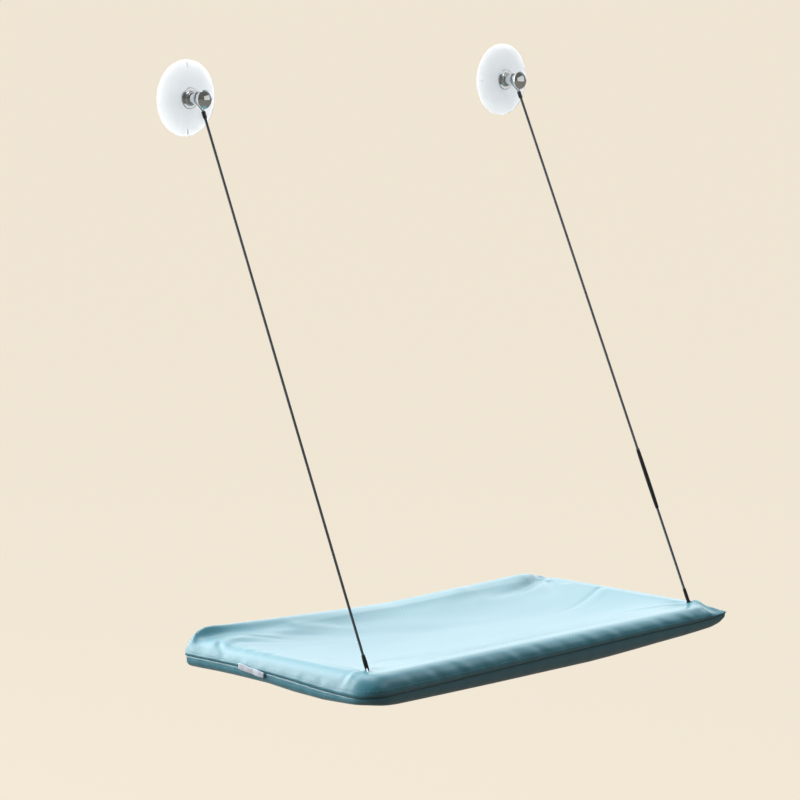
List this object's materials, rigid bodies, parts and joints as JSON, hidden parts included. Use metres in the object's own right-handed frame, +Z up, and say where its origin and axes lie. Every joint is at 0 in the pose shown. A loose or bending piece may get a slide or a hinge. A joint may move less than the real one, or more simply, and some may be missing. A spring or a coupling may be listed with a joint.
{
  "type": "cat hammock",
  "caption": "Window perch for a cat: a cloth sleeve on a tube frame, held to the glass by suction cups and hung by coated steel cables.",
  "frame": {"origin": "on the glass, half way along the bed, level with the bed's tubes", "axes": "+Y into the glass, -Y into the room, +Z up, +X to the right along the window as seen from the room"},
  "size_m": [0.582, 0.289, 0.701],
  "materials": {
    "cloth": "plain woven canvas, light aqua",
    "label": "woven ribbon, bare",
    "clear_cup": "clear soft PVC, moulded",
    "stud_steel": "turned",
    "chrome": "polished plating",
    "clip_plastic": "moulded nylon",
    "frame_plastic": "extruded and moulded PVC",
    "cable_coating": "dark vinyl coat over steel wire rope",
    "bare_wire": "stranded galvanised wire",
    "ferrule_metal": "pressed, dull",
    "splice_sleeve": "heat-shrunk tube"
  },
  "bodies": {
    "root": {"upper_cup_left": "clear_cup", "upper_stud_left": "stud_steel", "upper_spool_left": "chrome", "lower_cup_left": "clear_cup", "lower_stud_left": "stud_steel", "lower_spool_left": "chrome", "tube_clip_left": "clip_plastic", "top_loop_left": "bare_wire", "top_ferrule_left": "ferrule_metal", "cable_left": "cable_coating", "upper_cup_right": "clear_cup", "upper_stud_right": "stud_steel", "upper_spool_right": "chrome", "lower_cup_right": "clear_cup", "lower_stud_right": "stud_steel", "lower_spool_right": "chrome", "tube_clip_right": "clip_plastic", "top_loop_right": "bare_wire", "top_ferrule_right": "ferrule_metal", "cable_right": "cable_coating", "splice_sleeve_right": "splice_sleeve"},
    "bed": {"back_tube_left": "frame_plastic", "front_tube_left": "frame_plastic", "side_tube_left": "frame_plastic", "back_elbow_left": "frame_plastic", "front_elbow_left": "frame_plastic", "bottom_loop_left": "bare_wire", "bottom_ferrule_left": "ferrule_metal", "back_tube_right": "frame_plastic", "front_tube_right": "frame_plastic", "side_tube_right": "frame_plastic", "back_elbow_right": "frame_plastic", "front_elbow_right": "frame_plastic", "bottom_loop_right": "bare_wire", "bottom_ferrule_right": "ferrule_metal", "back_coupler": "frame_plastic", "front_coupler": "frame_plastic", "cloth_top_panel": "cloth", "cloth_bottom_panel": "cloth", "label": "label"},
    "upper_washer_body_left": {"upper_washer_left": "chrome"},
    "upper_nut_body_left": {"upper_cap_nut_left": "chrome"},
    "lower_washer_body_left": {"lower_washer_left": "chrome"},
    "lower_nut_body_left": {"lower_cap_nut_left": "chrome"},
    "upper_washer_body_right": {"upper_washer_right": "chrome"},
    "upper_nut_body_right": {"upper_cap_nut_right": "chrome"},
    "lower_washer_body_right": {"lower_washer_right": "chrome"},
    "lower_nut_body_right": {"lower_cap_nut_right": "chrome"}
  },
  "joints": [
    {"name": "bed_fold", "type": "hinge", "parent": "root", "child": "bed", "pos_m": [0, -0.028, 0], "axis": [-1, 0, 0], "range_deg": [0, 80], "deforming": ["cable_left", "cable_right", "splice_sleeve_right"]},
    {"name": "upper_washer_slide_left", "type": "slide", "parent": "root", "child": "upper_washer_body_left", "axis": [0, -1, 0], "range_m": [0, 0.005]},
    {"name": "upper_nut_turn_left", "type": "hinge", "parent": "upper_washer_body_left", "child": "upper_nut_body_left", "pos_m": [-0.262, -0.03, 0.585], "axis": [0, -1, 0], "range_deg": [0, 1800]},
    {"name": "upper_washer_slide_right", "type": "slide", "parent": "root", "child": "upper_washer_body_right", "axis": [0, -1, 0], "range_m": [0, 0.005]},
    {"name": "upper_nut_turn_right", "type": "hinge", "parent": "upper_washer_body_right", "child": "upper_nut_body_right", "pos_m": [0.2175, -0.03, 0.585], "axis": [0, -1, 0], "range_deg": [0, 1800]},
    {"name": "lower_washer_slide_left", "type": "slide", "parent": "root", "child": "lower_washer_body_left", "axis": [0, -1, 0], "range_m": [0, 0.005]},
    {"name": "lower_nut_turn_left", "type": "hinge", "parent": "lower_washer_body_left", "child": "lower_nut_body_left", "pos_m": [-0.07, -0.03, -0.036], "axis": [0, -1, 0], "range_deg": [0, 1800]},
    {"name": "lower_washer_slide_right", "type": "slide", "parent": "root", "child": "lower_washer_body_right", "axis": [0, -1, 0], "range_m": [0, 0.005]},
    {"name": "lower_nut_turn_right", "type": "hinge", "parent": "lower_washer_body_right", "child": "lower_nut_body_right", "pos_m": [0.07, -0.03, -0.036], "axis": [0, -1, 0], "range_deg": [0, 1800]}
  ],
  "couplings": [
    {"joint": "upper_washer_slide_left", "follows": "upper_nut_turn_left", "m_per_rad": 0.00015915},
    {"joint": "upper_washer_slide_right", "follows": "upper_nut_turn_right", "m_per_rad": 0.00015915},
    {"joint": "lower_washer_slide_left", "follows": "lower_nut_turn_left", "m_per_rad": 0.00015915},
    {"joint": "lower_washer_slide_right", "follows": "lower_nut_turn_right", "m_per_rad": 0.00015915}
  ]
}
